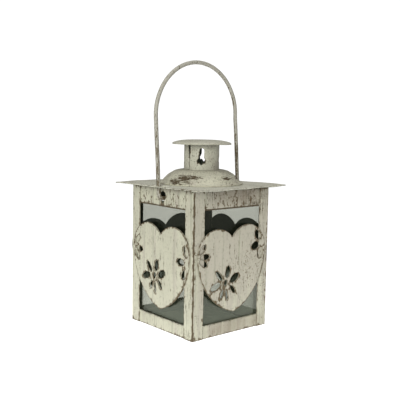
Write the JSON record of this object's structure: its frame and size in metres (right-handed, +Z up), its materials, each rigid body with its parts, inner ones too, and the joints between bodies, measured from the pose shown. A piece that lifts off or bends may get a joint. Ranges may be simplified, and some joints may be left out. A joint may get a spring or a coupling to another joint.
{
  "type": "candle lantern",
  "caption": "Square metal candle lantern with glass sides, heart ornaments, a vented lift-up roof with a chimney, and a wire bail.",
  "frame": {"origin": "centre of the base, on the surface that the lantern stands on", "axes": "+Z up; the front wall faces -Y; the bail is hinged in the left wall at -X and the right wall at +X"},
  "size_m": [0.0914, 0.0914, 0.1902],
  "materials": {
    "frame_paint": "matt cream paint, distressed, brown base coat at worn edges",
    "heart_paint": "matt cream paint, distressed, brown base coat at worn edges",
    "roof_paint": "matt cream paint, scratched through to the brown base coat",
    "bail_paint": "matt cream paint over brown, blotchy",
    "floor_paint": "matt grey-green base coat",
    "inner_steel": "matt dark base coat",
    "pane_glass": "clear, slightly dusty float glass"
  },
  "bodies": {
    "body": {"post_front_left": "frame_paint", "post_front_right": "frame_paint", "post_back_right": "frame_paint", "post_back_left": "frame_paint", "top_rail_front": "frame_paint", "top_rail_right": "frame_paint", "top_rail_back": "frame_paint", "top_rail_left": "frame_paint", "bottom_rail_front": "frame_paint", "bottom_rail_right": "frame_paint", "bottom_rail_back": "frame_paint", "bottom_rail_left": "frame_paint", "heart_front": "heart_paint", "heart_right": "heart_paint", "heart_back": "heart_paint", "heart_left": "heart_paint", "pane_front": "pane_glass", "pane_right": "pane_glass", "pane_back": "pane_glass", "pane_left": "pane_glass", "lower_clip_front_left": "inner_steel", "lower_clip_front_right": "inner_steel", "lower_clip_back_right": "inner_steel", "lower_clip_back_left": "inner_steel", "upper_clip_front_left": "inner_steel", "upper_clip_front_right": "inner_steel", "upper_clip_back_right": "inner_steel", "upper_clip_back_left": "inner_steel", "floor_pan": "floor_paint"},
    "roof": {"roof_plate": "roof_paint", "roof_dome": "roof_paint", "chimney": "roof_paint", "chimney_cap": "roof_paint"},
    "bail": {"bail": "bail_paint"}
  },
  "joints": [
    {"name": "roof_lift", "type": "slide", "parent": "body", "child": "roof", "axis": [0, 0, 1], "range_m": [0, 0.045]},
    {"name": "bail_swing", "type": "hinge", "parent": "body", "child": "bail", "pos_m": [0, 0, 0.0937], "axis": [1, 0, 0], "range_deg": [0, 9.2]}
  ]
}
